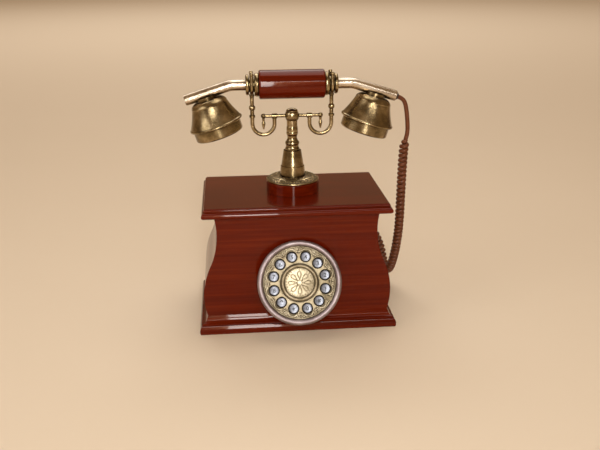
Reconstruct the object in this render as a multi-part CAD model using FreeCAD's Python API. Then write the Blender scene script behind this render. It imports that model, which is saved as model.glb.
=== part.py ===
import FreeCAD, Part
import math
import os
from FreeCAD import Vector as V

# A desk telephone in the old style: a wooden case with a moulded lid and plinth, a ring of twelve
# push buttons on a tilted dial, and a brass column whose sprung cradle carries the handset.
# Millimetres, +X to the right of someone facing the dial, +Y to the back, +Z up.
# The origin is the centre of the underside.

# Clearances shared by the fits
seatGap = 0.05
runningGap = 0.05
airGap = 0.3
overcut = 1.0
roundShare = 0.3

# Wooden case
caseHalfDepth = 62.0
caseBottomHalf = 101.5
bellyOut = 3.0
bellyHeight = 28.5
swingIn = 4.5
swingHeight = 57.5
waistIn = 13.0
waistHeight = 95.5
caseTopIn = 10.8
caseHeight = 115.0
frontThick = 10.0
sideThick = 8.0

# Plinth moulding and base panel
plinthHeight = 19.5
plinthReach = 9.3
plinthRollTop = 9.5
plinthStep = 6.0
plinthLedge = 1.2
plinthFootIn = 0.8
plinthRollIn = 1.8
plinthRiser = 2.0
plinthHollowIn = 1.0
plinthHollowUp = 4.0
plinthHollowDown = 3.5
plinthBevel = 2.5
plinthOpenHalfX = 82.0
plinthOpenHalfY = 46.0
baseThick = 4.0
baseRebate = 11.0

# Lid with its moulded edge
lidThick = 11.3
lidOverEnds = 9.2
lidOverFront = 4.7
lidRoll = 4.2
lidFoot = 0.4
lidRollMid = 3.8
lidRollIn = 1.3
lidRollTop = 6.9
lidFilletIn = 0.3
lidFilletLow = 7.4
lidFilletHigh = 8.0
lidBeadOut = 1.6
lidBeadMid = 9.0
lidBeadTop = 10.2

# Dial: a tilted disc in front of the case
dialTilt = 20.0
dialStandOff = 19.0
dialHeight = 63.0
bezelR = 46.2
bezelWide = 5.45
bezelTall = 5.0
bezelLip = 0.7
bezelLipTall = 0.6
plateThick = 2.0
cupFrontR = 45.0
cupBackR = 38.0
cupBackRise = 3.0
dialScrewInset = 7.0
dialScrewAngles = [200, 270, 340]
dialScrewIn = 6.0
boardR = 36.5
wireHoleR = 24.0
hubR = 20.5
hubTall = 1.0
medallionR = 16.5
medallionTall = 1.4
medallionRim = 0.3
stopLong = 13.0
stopFootHalf = 2.8
stopTipHalf = 0.5
stopTall = 2.4
stopAngle = -30.0

# Buttons
buttonNames = ["1", "2", "3", "4", "5", "6", "7", "8", "9", "star", "0", "hash"]
buttonCount = len(buttonNames)
firstButton = 105.0
buttonCircleR = 29.0
buttonR = 5.0
buttonTravel = 1.5
buttonProud = 2.0
buttonFlangeWide = 0.75
buttonFlangeThick = 1.1
buttonTail = 1.0
buttonBevel = 0.6
buttonHollow = 0.3
rimR = 6.0
rimProud = 1.0
rimBevel = 0.5
matThick = 1.4
padR = 3.5
padTall = 0.6
circuitThick = 1.4

# Column
discR = 30.0
discTall = 12.2
discEdge = 1.2
flangeRim = 2.2
flangeTall = 5.5
flangeFootIn = 0.4
flangeRimIn = 0.6
flangeLand = 2.2
flangeCrownDrop = 0.8
sleeveBottomR = 14.5
sleeveTopR = 10.0
sleeveTall = 29.2
sleeveStepUp = 11.1
sleeveStep = 0.7
collarR = 8.15
collarTall = 9.9
collarLand = 2.0
collarWaistIn = 0.9
collarTopIn = 0.5
spigotIn = 2.0
shankR = 9.5
shankBelowLid = 12.5
shankBoreR = 5.0
nutFlatR = 12.0
nutTall = 7.0

# Cradle that rises when the handset is lifted
cradleTravel = 5.0
rodR = 4.0
neckR = 6.0
neckTall = 8.0
neckRingR = 6.65
neckRingTall = 3.4
neckFootOut = 0.6
neckFootTall = 1.0
neckWaistIn = 0.5
neckSwell = 0.3
throatR = 6.5
throatTall = 6.0
ballR = 8.0
ballUp = 29.4
capUp = 5.0
capR = 6.6
capTall = 3.6
capEdge = 1.0
barR = 2.0
barHalf = 32.0
barHeadR = 2.9
finialTall = 12.0
finialR = 2.25
finialTipR = 0.8
finialBellyShare = 0.55
finialNeckShare = 0.75
finialNeckR = 1.35
finialStemR = 1.8
scrollR = 2.25
scrollInner = 19.7
scrollOuter = 44.4
scrollDrop = 8.6
bossR = 3.0
bossHalf = 3.0
ringR = 3.3
ringHalf = 1.2
beadR = 3.6
beadUp = 9.6
forkWireR = 1.9
prongTall = 12.0
prongTipR = 2.3
crotchR = 2.9
crotchDrop = 1.5

# Plunger spring and hook switch
stopCollarR = 7.5
stopCollarTall = 5.0
springR = 5.6
springWireR = 0.55
springTurns = 8
bracketHalf = 28.0
bracketWide = 16.0
bracketThick = 1.5
bracketDrop = 49.0
bracketFoot = 14.0
bracketScrewLong = 7.9
switchLong = 20.0
switchWide = 12.0
switchTall = 20.0
switchPlungerR = 2.5
switchPlungerTall = 8.0

# Circuit board, ringer and sockets
boardHalfX = 45.0
boardHalfY = 40.0
boardThick = 1.6
standoffR = 3.0
standoffTall = 5.0
standoffInset = 6.0
ringerR = 14.0
ringerTall = 8.0
ringerInset = 3.0
ringerWall = 2.0
soundHoles = 6
soundHoleR = 1.5
jackInset = 22.0
jackZ = 45.0
jackWide = 16.0
jackTall = 14.0
jackDeep = 16.0
socketWide = 10.0
socketTall = 7.0
socketDeep = 11.0

# Fasteners
screwR = 1.5
screwHeadR = 3.0
screwHeadTall = 2.0
baseScrewLong = 16.0
blockSide = 14.0
blockTall = 20.0
cleatHalf = 60.0
cleatDeep = 10.0
cleatTall = 12.0

# Handset
handsetUp = 35.0
gripR = 16.0
gripHalf = 36.6
gripRound = 2.0
grooveR = 8.0
grooveX = 44.4
grooveHalf = 3.1
innerFlangeR = 12.5
innerFlangeSwell = 0.5
innerFlangeIn = 0.6
outerFlangeR = 11.0
outerFlangeWide = 3.6
outerFlangeSwell = 0.4
outerFlangeFootIn = 0.6
outerFlangeIn = 0.8
tubeR = 6.0
tubeBoreR = 4.5
tubeBendX = 68.0
tubeBendR = 22.0
tubeSlope = 17.5
tubeReach = 51.5
tubeHoleR = 3.0
tieRodR = 2.5
tieNutR = 4.2
tieNutTall = 3.5
cupAlong = 28.8
cupNeckR = 11.0
cupNeckTop = 3.0
cupNeckDown = 6.6
cupShoulderR = 20.5
cupShoulderDown = 12.0
cupRimR = 30.25
cupRimDown = 35.0
cupWall = 1.7
cupDomeSwell = 1.6
cupShoulderTall = 1.2
cupFlankIn = 1.1
cupRimIn = 1.0
cupRimHalf = 1.5
capOuterR = 27.0
capTaper = 0.6
capDown = 12.0
capPlate = 2.0
capRound = 2.0
capRoundMid = 0.6
capHollow = 1.6
capsuleR = 23.5
capsuleTall = 7.0
voiceHoleR = 1.3
voiceRings = [(6, 6.0), (12, 12.0)]
plugTall = 3.0
plugHead = 1.0
plugHeadIn = 0.5

# Handset cord: leads and curls of one wire, and the line that the curls go round
cordR = 1.75
curlR = 3.9
curlCount = 51
grommetR = 5.0
grommetTall = 3.0
grommetLip = 1.5
grommetNose = 1.0
grommetInset = 20.7
grommetZ = 76.0
leadTop = 50.0
leadEnd = 34.0
easeTurns = 1.5
leadSteps = 8
frameCount = 800
tangentStep = 0.05
gapPoints = 3000

# Half widths of the case and lid, and places inside the case
bellyHalf = caseBottomHalf + bellyOut
swingHalf = caseBottomHalf - swingIn
waistHalf = caseBottomHalf - waistIn
caseTopHalf = caseBottomHalf - caseTopIn
lidTopHalfX = caseTopHalf + lidOverEnds
lidTopHalfY = caseHalfDepth + lidOverFront
ringerX = plinthOpenHalfX - ringerR - ringerInset
jackX = jackInset - plinthOpenHalfX
grommetX = caseTopHalf - grommetInset

# Heights worked out from the stack
caseTop = plinthHeight + caseHeight
lidTop = caseTop + lidThick
discTop = lidTop + discTall
flangeTop = discTop + flangeTall
sleeveTop = flangeTop + sleeveTall
collarTop = sleeveTop + collarTall
cradleBase = collarTop + seatGap
ballZ = collarTop + ballUp
shankEnd = caseTop - shankBelowLid
stopTop = shankEnd - cradleTravel - airGap
stopBottom = stopTop - stopCollarTall
bracketZ = caseTop - bracketDrop
boardZ = baseThick + standoffTall
boardTop = boardZ + boardThick
switchTop = boardTop + switchTall
rodEnd = switchTop + switchPlungerTall + seatGap
scrollX = (scrollOuter + scrollInner) / 2
scrollZ = ballZ - scrollDrop
forkTurnR = grooveR + airGap + forkWireR
handsetZ = ballZ + handsetUp
rimEnd = cupRimDown + cupRimHalf
capHigh = rimEnd + seatGap
capLow = capHigh + capDown
capInside = capLow - capHollow - capPlate
dialY = -caseHalfDepth - dialStandOff
plateR = bezelR - bezelWide - seatGap
plateFace = plateThick / 2
plateBack = -plateThick / 2
buttonBottom = plateBack - seatGap - buttonFlangeThick - buttonTail
padTop = buttonBottom - buttonTravel - airGap
matBack = padTop - padTall - matThick
circuitBack = matBack - circuitThick


def point(r, z):
    return V(r, 0, z)


# Lines and arcs of an outline in the XZ plane: a pair is a line's end, four are an arc's middle and end.
def outline(start, steps):
    edges = []
    here = point(*start)
    for step in steps:
        end = point(*step[-2:])
        if len(step) == 4:
            edges.append(Part.Arc(here, point(*step[:2]), end).toShape())
        else:
            edges.append(Part.LineSegment(here, end).toShape())
        here = end
    return edges


def closedFace(start, steps):
    edges = outline(start, list(steps) + [start])
    return Part.Face(Part.Wire(edges))


def turned(start, *steps):
    return closedFace(start, steps).revolve(V(0, 0, 0), V(0, 0, 1), 360)


# The last step of an outline that closes on the axis with a round crown, or a hollow if the rise is negative.
def crown(r, z, rise):
    curve = (r * r + rise * rise) / (2 * rise)
    half = math.asin(r / abs(curve)) / 2
    return (abs(curve) * math.sin(half), z + rise - curve + curve * math.cos(half), 0, z + rise)


# The face between a right-hand outline, running upwards, and its mirror image.
def symmetricFace(edges):
    left = [edge.mirror(V(0, 0, 0), V(1, 0, 0)) for edge in edges]
    low = edges[0].Vertexes[0].Point
    high = edges[-1].Vertexes[-1].Point
    ends = [Part.LineSegment(V(-p.x, 0, p.z), p).toShape() for p in (low, high)]
    return Part.Face(Part.Wire(Part.__sortEdges__(edges + left + ends)))


# A mitred moulding: the same edge outline, as steps out from two half sizes, on all four sides.
def moulding(halfX, halfY, start, steps):
    solids = []
    for half, other in ((halfX, halfY), (halfY, halfX)):
        shifted = [tuple(n + half if i % 2 == 0 else n for i, n in enumerate(s)) for s in steps]
        face = symmetricFace(outline((start[0] + half, start[1]), shifted))
        long = 4 * other
        face.translate(V(0, -long / 2, 0))
        solids.append(face.extrude(V(0, long, 0)))
    solids[1].rotate(V(0, 0, 0), V(0, 0, 1), 90)
    return solids[0].common(solids[1])


def block(x0, x1, y0, y1, z0, z1):
    return Part.makeBox(x1 - x0, y1 - y0, z1 - z0, V(x0, y0, z0))


def rod(start, end, r):
    return Part.makeCylinder(r, (end - start).Length, start, end - start)


def ball(centre, r):
    return Part.makeSphere(r, centre)


def joined(shapes):
    return shapes[0].fuse(shapes[1:]).removeSplitter()


def mirrored(shape):
    return shape.mirror(V(0, 0, 0), V(1, 0, 0))


# A screw with a cone head, pointing along the given way from the surface that its head lies in.
def screw(at, way, long):
    cone = Part.makeCone(screwHeadR, screwR, screwHeadTall, at, way)
    return joined([cone, rod(at, at + way * long, screwR)])


# Places a shape made about the dial's own axis, with the plate's middle at zero and +Z out of the dial.
def onDial(shape):
    placed = shape.copy()
    placed.rotate(V(0, 0, 0), V(1, 0, 0), 90 - dialTilt)
    placed.translate(V(0, dialY, dialHeight))
    return placed


# A button's place: they are numbered from the finger stop, against the clock.
def aroundDial(r, index):
    angle = math.radians(firstButton - index * 360 / buttonCount)
    return V(r * math.sin(angle), r * math.cos(angle), 0)


# Two arcs that leave one point along its direction and reach the next along its own.
def biarc(p0, t0, p1, t1):
    chord = p1 - p0
    both = t0 + t1
    bend = 2 * (1 - t0.dot(t1))
    along = chord.dot(both)
    if bend > 1e-9:
        reach = (math.sqrt(along * along + bend * chord.dot(chord)) - along) / bend
    else:
        reach = chord.dot(chord) / (2 * along)
    corners = [p0 + t0 * reach, p1 - t1 * reach]
    middle = (corners[0] + corners[1]) * 0.5
    return [tangentArc(p0, corners[0], middle), tangentArc(middle, corners[1], p1)]


def tangentArc(start, corner, end):
    centre = (start + end) * 0.5
    lift = (corner - centre).Length
    half = (start - centre).Length
    if lift < 1e-6 * half:
        return Part.LineSegment(start, end).toShape()
    turn = math.atan2(lift, half)
    top = centre + (corner - centre) * (half * math.tan(turn / 2) / lift)
    return Part.Arc(start, top, end).toShape()


# A wire of round section along points and their directions.
def wireAlong(points, directions, r):
    edges = []
    for i in range(len(points) - 1):
        edges += biarc(points[i], directions[i], points[i + 1], directions[i + 1])
    path = Part.Wire(edges)
    section = Part.Wire(Part.makeCircle(r, points[0], directions[0]))
    return path.makePipeShell([section], True, False)


# The least distance between turns of one wire, on points, less the wire itself.
def leastSelfGap(points, r, apart):
    least = 1e9
    for i, p in enumerate(points):
        for q in points[i + apart:]:
            least = min(least, (p - q).Length)
    return least - 2 * r


# Wooden case
def caseOutline(inset, low, high):
    start = (caseBottomHalf - inset, low)
    belly = (bellyHalf - inset, low + bellyHeight, swingHalf - inset, low + swingHeight)
    waist = (waistHalf - inset, low + waistHeight, caseTopHalf - inset, high)
    return outline(start, [belly, waist])


def makePlinth():
    hollow = (plinthStep + plinthLedge) / 2 - plinthHollowIn
    steps = [
        (plinthReach, plinthRollTop / 2, plinthReach - plinthRollIn, plinthRollTop),
        (plinthStep, plinthRollTop),
        (plinthStep, plinthRollTop + plinthRiser),
        (hollow, plinthRollTop + plinthHollowUp, plinthLedge, plinthHeight - plinthHollowDown),
        (plinthLedge, plinthHeight - plinthBevel),
        (0, plinthHeight),
    ]
    body = moulding(caseBottomHalf, caseHalfDepth, (plinthReach - plinthFootIn, 0), steps)
    openX, openY = plinthOpenHalfX, plinthOpenHalfY
    body = body.cut(block(-openX, openX, -openY, openY, -overcut, plinthHeight + overcut))
    rebateX, rebateY = openX + baseRebate, openY + baseRebate
    body = body.cut(block(-rebateX, rebateX, -rebateY, rebateY, -overcut, baseThick))
    return body.cut(makeBaseScrews())


def baseCorners(inset):
    x = plinthOpenHalfX + inset
    y = plinthOpenHalfY + inset
    return [V(sx * x, sy * y, 0) for sx in (-1, 1) for sy in (-1, 1)]


def makeBaseScrews():
    corners = baseCorners(baseRebate / 2)
    return Part.makeCompound([screw(at, V(0, 0, 1), baseScrewLong) for at in corners])


def standoffPlaces(z):
    x = boardHalfX - standoffInset
    y = boardHalfY - standoffInset
    return [V(sx * x, sy * y, z) for sx in (-1, 1) for sy in (-1, 1)]


def makeBasePanel():
    x = plinthOpenHalfX + baseRebate - airGap
    y = plinthOpenHalfY + baseRebate - airGap
    panel = block(-x, x, -y, y, 0, baseThick)
    posts = [rod(at, at + V(0, 0, standoffTall), standoffR) for at in standoffPlaces(baseThick)]
    panel = joined([panel] + posts)
    holes = [V(ringerX, 0, -overcut)]
    for k in range(soundHoles):
        angle = 2 * math.pi * k / soundHoles
        holes.append(V(ringerX + ringerR / 2 * math.cos(angle), ringerR / 2 * math.sin(angle), -overcut))
    for at in holes:
        panel = panel.cut(rod(at, at + V(0, 0, baseThick + 2 * overcut), soundHoleR))
    return panel.cut([makeBaseScrews(), makeBoardScrews()])


def makeFrontPanel():
    face = symmetricFace(caseOutline(0, plinthHeight, caseTop))
    face.translate(V(0, -caseHalfDepth, 0))
    panel = face.extrude(V(0, frontThick, 0))
    keypadRoom = rod(V(0, 0, circuitBack - 3 * airGap), V(0, 0, bezelTall), boardR + 2 * airGap)
    return panel.cut([onDial(keypadRoom), wireHole(), makeDialScrews()])


def makeBackPanel():
    face = symmetricFace(caseOutline(0, plinthHeight, caseTop))
    face.translate(V(0, caseHalfDepth - frontThick, 0))
    panel = face.extrude(V(0, frontThick, 0))
    jackRoom = jackBlock(seatGap)
    return panel.cut([jackRoom, rod(grommetEnd(-2 * frontThick), grommetEnd(frontThick), grommetR)])


def makeRightSide():
    outer = caseOutline(0, plinthHeight, caseTop)
    inner = caseOutline(sideThick, plinthHeight, caseTop)
    ends = []
    for k in (0, -1):
        a = outer[k].Vertexes[k].Point
        b = inner[k].Vertexes[k].Point
        ends.append(Part.LineSegment(a, b).toShape())
    face = Part.Face(Part.Wire(Part.__sortEdges__(outer + inner + ends)))
    inside = caseHalfDepth - frontThick
    face.translate(V(0, -inside, 0))
    return face.extrude(V(0, 2 * inside, 0))


def cornerBlocks():
    inside = caseHalfDepth - frontThick
    blocks = []
    for sx in (-1, 1):
        for sy in (-1, 1):
            x = sx * (plinthOpenHalfX - blockSide)
            y = sy * (inside - blockSide)
            xs = sorted((x, x + sx * blockSide))
            ys = sorted((y, y + sy * blockSide))
            blocks.append(block(*xs, *ys, plinthHeight, plinthHeight + blockTall))
    return blocks


def cleatScrews():
    y = caseHalfDepth - frontThick - cleatDeep / 2
    screws = []
    for sx in (-1, 1):
        for sy in (-1, 1):
            at = V(sx * (cleatHalf - cleatDeep), sy * y, caseTop - cleatTall)
            screws.append(screw(at, V(0, 0, 1), cleatTall + lidThick / 2))
    return Part.makeCompound(screws)


def makeGlueBlocks():
    inside = caseHalfDepth - frontThick
    low = caseTop - cleatTall
    front = block(-cleatHalf, cleatHalf, -inside, cleatDeep - inside, low, caseTop)
    back = block(-cleatHalf, cleatHalf, inside - cleatDeep, inside, low, caseTop)
    return Part.makeCompound([front, back] + cornerBlocks()).cut(cleatScrews())


def makeLid():
    low = caseTop
    steps = [
        (lidFoot, low),
        (lidRoll, low + lidRollMid, lidRollIn, low + lidRollTop),
        (lidFilletIn, low + lidFilletLow),
        (lidFilletIn, low + lidFilletHigh),
        (lidBeadOut, low + lidBeadMid, 0, low + lidBeadTop),
        (0, lidTop),
    ]
    lid = moulding(lidTopHalfX, lidTopHalfY, (-lidRoll, low), steps)
    lid = lid.cut(rod(V(0, 0, low - overcut), V(0, 0, lidTop + overcut), shankR + seatGap))
    return lid.cut([cleatScrews(), makeBracketScrews()])


# Dial
def wireHole():
    return onDial(rod(V(0, 0, -4 * frontThick), V(0, 0, 0), wireHoleR))


def makeDialCup():
    front = Part.Wire(Part.makeCircle(cupFrontR, V(0, 0, plateBack), V(0, 0, 1)))
    back = Part.Wire(Part.makeCircle(cupBackR))
    back.rotate(V(0, 0, 0), V(1, 0, 0), 90)
    back.translate(V(0, -caseHalfDepth, dialHeight + cupBackRise))
    cup = Part.makeLoft([back, onDial(front)], True, True)
    room = rod(V(0, 0, circuitBack - airGap), V(0, 0, plateThick), boardR + airGap)
    return cup.cut([onDial(room), wireHole(), makeDialScrews()])


def makeDialScrews():
    inside = -caseHalfDepth + frontThick
    screws = []
    reach = cupBackR - dialScrewInset
    for degrees in dialScrewAngles:
        x = reach * math.cos(math.radians(degrees))
        z = dialHeight + cupBackRise + reach * math.sin(math.radians(degrees))
        screws.append(screw(V(x, inside, z), V(0, -1, 0), frontThick + dialScrewIn))
    return Part.makeCompound(screws)


def makeBezel():
    inner = bezelR - bezelWide
    lip = inner - bezelLip
    middle = (bezelR + lip) / 2
    low = plateFace + seatGap
    ring = turned(
        (inner, plateBack),
        (bezelR, plateBack),
        (bezelR, plateFace),
        (middle, bezelTall, lip, low + bezelLipTall),
        (lip, low),
        (inner, low),
    )
    return onDial(ring)


def makeDialPlate():
    plate = turned(
        (0, plateBack),
        (plateR, plateBack),
        (plateR, plateFace),
        (hubR, plateFace),
        ((hubR + medallionR) / 2, plateFace + 2 * hubTall, medallionR, plateFace),
        (0, plateFace),
    )
    for k in range(buttonCount):
        at = aroundDial(buttonCircleR, k) + V(0, 0, plateBack - overcut)
        plate = plate.cut(rod(at, at + V(0, 0, plateThick + 2 * overcut), rimR))
    return onDial(plate)


def makeMedallion():
    low = plateFace
    disc = turned(
        (0, low),
        (medallionR - seatGap, low),
        (medallionR - seatGap, low + medallionRim),
        crown(medallionR - seatGap, low + medallionRim, medallionTall - medallionRim),
    )
    return onDial(disc)


def makeFingerStop():
    foot = plateR - bezelLip - airGap
    blade = Part.makePolygon([
        V(foot, -stopFootHalf, 0),
        V(foot, stopFootHalf, 0),
        V(foot - stopLong, stopTipHalf, 0),
        V(foot - stopLong, -stopTipHalf, 0),
        V(foot, -stopFootHalf, 0),
    ])
    solid = Part.Face(blade).extrude(V(0, 0, stopTall))
    solid.translate(V(0, 0, plateFace))
    solid.rotate(V(0, 0, 0), V(0, 0, 1), stopAngle)
    return onDial(solid)


def makeButtonRims():
    ring = turned(
        (buttonR + runningGap, plateBack),
        (rimR, plateBack),
        (rimR, plateFace + rimProud - rimBevel),
        (rimR - rimBevel, plateFace + rimProud),
        (buttonR + runningGap, plateFace + rimProud),
    )
    rims = []
    for k in range(buttonCount):
        one = ring.copy()
        one.translate(aroundDial(buttonCircleR, k))
        rims.append(onDial(one))
    return Part.makeCompound(rims)


def makeButton(index):
    flangeR = buttonR + buttonFlangeWide
    back = plateBack - seatGap
    face = plateFace + buttonProud
    cap = turned(
        (0, buttonBottom),
        (padR, buttonBottom),
        (padR, back - buttonFlangeThick),
        (flangeR, back - buttonFlangeThick),
        (flangeR, back),
        (buttonR, back),
        (buttonR, face - buttonBevel),
        (buttonR - buttonBevel, face),
        crown(buttonR - buttonBevel, face, -buttonHollow),
    )
    cap.translate(aroundDial(buttonCircleR, index))
    return onDial(cap)


def makeKeypadMat():
    inner = buttonCircleR + buttonR + buttonFlangeWide + airGap
    wall = turned((inner, matBack), (boardR, matBack), (boardR, plateBack), (inner, plateBack))
    pieces = [rod(V(0, 0, matBack), V(0, 0, matBack + matThick), boardR), wall]
    for k in range(buttonCount):
        at = aroundDial(buttonCircleR, k) + V(0, 0, matBack)
        pieces.append(rod(at, at + V(0, 0, matThick + padTall), padR))
    return onDial(joined(pieces))


def makeKeypadBoard():
    return onDial(rod(V(0, 0, circuitBack), V(0, 0, matBack), boardR))


# Column
def makePedestalDisc():
    edge = discEdge
    return turned(
        (shankR + seatGap, lidTop),
        (discR, lidTop),
        (discR, discTop - edge),
        (discR - roundShare * edge, discTop - roundShare * edge, discR - edge, discTop),
        (shankR + seatGap, discTop),
    )


def makeColumnFlange():
    rim = discTop + flangeRim
    return turned(
        (shankR + seatGap, discTop),
        (discR - flangeFootIn, discTop),
        (discR, discTop + flangeRim / 2, discR - flangeRimIn, rim),
        (discR - flangeLand, rim),
        ((discR + sleeveBottomR) / 2, flangeTop - flangeCrownDrop, sleeveBottomR, flangeTop),
        (shankR + seatGap, flangeTop),
    )


def makeColumnSleeve():
    stepZ = flangeTop + sleeveStepUp
    midR = sleeveBottomR + (sleeveTopR - sleeveBottomR) * sleeveStepUp / sleeveTall
    spigot = collarR - spigotIn
    return turned(
        (shankBoreR, shankEnd),
        (shankR, shankEnd),
        (shankR, flangeTop),
        (sleeveBottomR, flangeTop),
        (midR + sleeveStep, stepZ),
        (midR, stepZ + sleeveStep),
        (sleeveTopR, sleeveTop),
        (spigot, sleeveTop),
        (spigot, sleeveTop - collarTall),
        (shankBoreR, sleeveTop - collarTall),
    )


def makeColumnCollar():
    spigot = collarR - spigotIn - seatGap
    bore = rodR + runningGap
    waist = sleeveTop + collarTall / 2
    return turned(
        (bore, sleeveTop - collarTall),
        (spigot, sleeveTop - collarTall),
        (spigot, sleeveTop),
        (collarR, sleeveTop),
        (collarR, sleeveTop + collarLand),
        (collarR - collarWaistIn, waist, collarR, collarTop - collarLand),
        (collarR - collarTopIn, collarTop),
        (bore, collarTop),
    )


def makeColumnNut():
    high = caseTop
    corners = []
    for k in range(7):
        angle = math.radians(60 * k)
        reach = nutFlatR / math.cos(math.radians(30))
        corners.append(V(reach * math.cos(angle), reach * math.sin(angle), high - nutTall))
    nut = Part.Face(Part.makePolygon(corners)).extrude(V(0, 0, nutTall))
    return nut.cut(rod(V(0, 0, shankEnd), V(0, 0, caseTop), shankR + seatGap))


# Cradle
def crossHole():
    return rod(V(-barHalf, 0, ballZ), V(barHalf, 0, ballZ), barR)


def makePlungerRod():
    shaft = rod(V(0, 0, rodEnd), V(0, 0, ballZ + capUp), rodR)
    collar = rod(V(0, 0, stopBottom), V(0, 0, stopTop), stopCollarR)
    return joined([shaft, collar]).cut(crossHole())


def makeCradleNeck():
    ringLow = cradleBase + neckTall
    ringHigh = ringLow + neckRingTall
    throatTop = ringHigh + throatTall
    swell = neckR + neckSwell
    lap = math.sqrt(ballR * ballR - neckR * neckR)
    return turned(
        (rodR, cradleBase),
        (neckR + neckFootOut, cradleBase),
        (neckR + neckFootOut, cradleBase + neckFootTall),
        (neckR - neckWaistIn, cradleBase + neckTall / 2, swell, ringLow),
        (neckRingR, (ringLow + ringHigh) / 2, swell, ringHigh),
        (throatR, (ringHigh + throatTop) / 2, neckR, throatTop),
        (neckR, ballZ - lap - seatGap),
        (rodR, ballZ - lap - seatGap),
    )


def makeCradleBall():
    lap = math.sqrt(ballR * ballR - neckR * neckR)
    solid = ball(V(0, 0, ballZ), ballR)
    solid = solid.cut(rod(V(0, 0, ballZ - 2 * ballR), V(0, 0, ballZ - lap), 2 * ballR))
    solid = solid.cut(rod(V(0, 0, ballZ + capUp), V(0, 0, ballZ + 2 * ballR), ballR))
    return solid.cut([rod(V(0, 0, rodEnd), V(0, 0, ballZ + ballR), rodR), crossHole()])


def makeCradleCap():
    low = ballZ + capUp
    return turned(
        (0, low),
        (capR, low),
        (capR, low + capEdge),
        crown(capR, low + capEdge, capTall - capEdge),
    )


def makeFinial(x):
    high = ballZ
    low = ballZ - finialTall - barHeadR
    drop = turned(
        (0, low),
        (finialTipR, low),
        (finialR, low + finialTall * finialBellyShare),
        (finialNeckR, low + finialTall * finialNeckShare),
        (finialStemR, high),
        (0, high),
    )
    drop.translate(V(x, 0, 0))
    return drop


def makeCrossBar():
    pieces = [crossHole()]
    for x in (-barHalf, barHalf):
        pieces += [ball(V(x, 0, ballZ), barHeadR), makeFinial(x)]
    return joined(pieces)


# A half ring of round wire from one point round a centre, about the given axis.
def halfRing(start, way, centre, axis, r):
    section = Part.Face(Part.Wire(Part.makeCircle(r, start, way)))
    return section.revolve(centre, axis, 180)


def makeRightFork():
    crotch = V(scrollOuter, 0, handsetZ - forkTurnR - crotchDrop)
    tip = handsetZ + prongTall
    inner = V(scrollInner, 0, scrollZ)
    outer = V(scrollOuter, 0, scrollZ)
    pieces = [
        rod(inner, V(scrollInner, 0, ballZ), scrollR),
        halfRing(inner, V(0, 0, 1), V(scrollX, 0, scrollZ), V(0, -1, 0), scrollR),
        rod(outer, crotch, scrollR),
        ball(crotch, crotchR),
        rod(V(scrollInner - bossHalf, 0, ballZ), V(scrollInner + bossHalf, 0, ballZ), bossR),
        rod(V(scrollOuter, 0, ballZ - ringHalf), V(scrollOuter, 0, ballZ + ringHalf), ringR),
        ball(V(scrollOuter, 0, ballZ + beadUp), beadR),
    ]
    front = V(grooveX, -forkTurnR, handsetZ)
    pieces.append(halfRing(front, V(0, 0, 1), V(grooveX, 0, handsetZ), V(1, 0, 0), forkWireR))
    for y in (-forkTurnR, forkTurnR):
        pieces.append(rod(V(grooveX, y, handsetZ), V(grooveX, y, tip), forkWireR))
        pieces.append(ball(V(grooveX, y, tip), prongTipR))
    return pieces[0].fuse(pieces[1:]).cut(crossHole())


def makePlungerSpring():
    low = bracketZ + springWireR + seatGap
    high = stopBottom - springWireR - seatGap
    points = []
    directions = []
    for k in range(2 * springTurns + 1):
        angle = math.pi * k
        rise = (high - low) * k / (2 * springTurns)
        slope = (high - low) / (2 * math.pi * springTurns)
        points.append(V(springR * math.cos(angle), springR * math.sin(angle), low + rise))
        directions.append(V(-springR * math.sin(angle), springR * math.cos(angle), slope).normalize())
    print("spring gap", round((high - low) / springTurns - 2 * springWireR, 2))
    return wireAlong(points, directions, springWireR)


def makeSpringBracket():
    half = bracketHalf
    wide = bracketWide / 2
    pieces = [block(-half, half, -wide, wide, bracketZ - bracketThick, bracketZ)]
    for sx in (-1, 1):
        leg = sorted((sx * half, sx * (half - bracketThick)))
        foot = sorted((sx * half, sx * (half + bracketFoot)))
        pieces.append(block(*leg, -wide, wide, bracketZ - bracketThick, caseTop))
        pieces.append(block(*foot, -wide, wide, caseTop - bracketThick, caseTop))
    solid = joined(pieces)
    return solid.cut([rod(V(0, 0, 0), V(0, 0, caseTop), rodR + runningGap), makeBracketScrews()])


def makeBracketScrews():
    x = bracketHalf + bracketFoot / 2
    low = caseTop - bracketThick
    return Part.makeCompound([screw(V(sx * x, 0, low), V(0, 0, 1), bracketScrewLong) for sx in (-1, 1)])


# Electrics
def makeMainBoard():
    board = block(-boardHalfX, boardHalfX, -boardHalfY, boardHalfY, boardZ, boardTop)
    return board.cut(makeBoardScrews())


def makeBoardScrews():
    long = boardThick + standoffTall
    return Part.makeCompound([screw(at, V(0, 0, -1), long) for at in standoffPlaces(boardTop)])


def makeHookSwitch():
    x, y = switchLong / 2, switchWide / 2
    solid = block(-x, x, -y, y, boardTop, switchTop)
    low = switchTop - switchPlungerTall
    return solid.cut(rod(V(0, 0, low), V(0, 0, switchTop + overcut), switchPlungerR + runningGap))


def makeSwitchPlunger():
    low = switchTop - switchPlungerTall + seatGap
    return rod(V(0, 0, low), V(0, 0, rodEnd - seatGap), switchPlungerR)


def makeRinger():
    high = baseThick + ringerTall
    solid = rod(V(ringerX, 0, baseThick), V(ringerX, 0, high), ringerR)
    return solid.cut(rod(V(ringerX, 0, 0), V(ringerX, 0, high - ringerWall), ringerR - ringerWall))


def jackBlock(extra):
    x, z = jackWide / 2 + extra, jackTall / 2 + extra
    back = caseHalfDepth
    return block(jackX - x, jackX + x, back - jackDeep, back, jackZ - z, jackZ + z)


def makeLineJack():
    x, z = socketWide / 2, socketTall / 2
    back = caseHalfDepth
    socket = block(jackX - x, jackX + x, back - socketDeep, back + overcut, jackZ - z, jackZ + z)
    return jackBlock(0).cut(socket)


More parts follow.
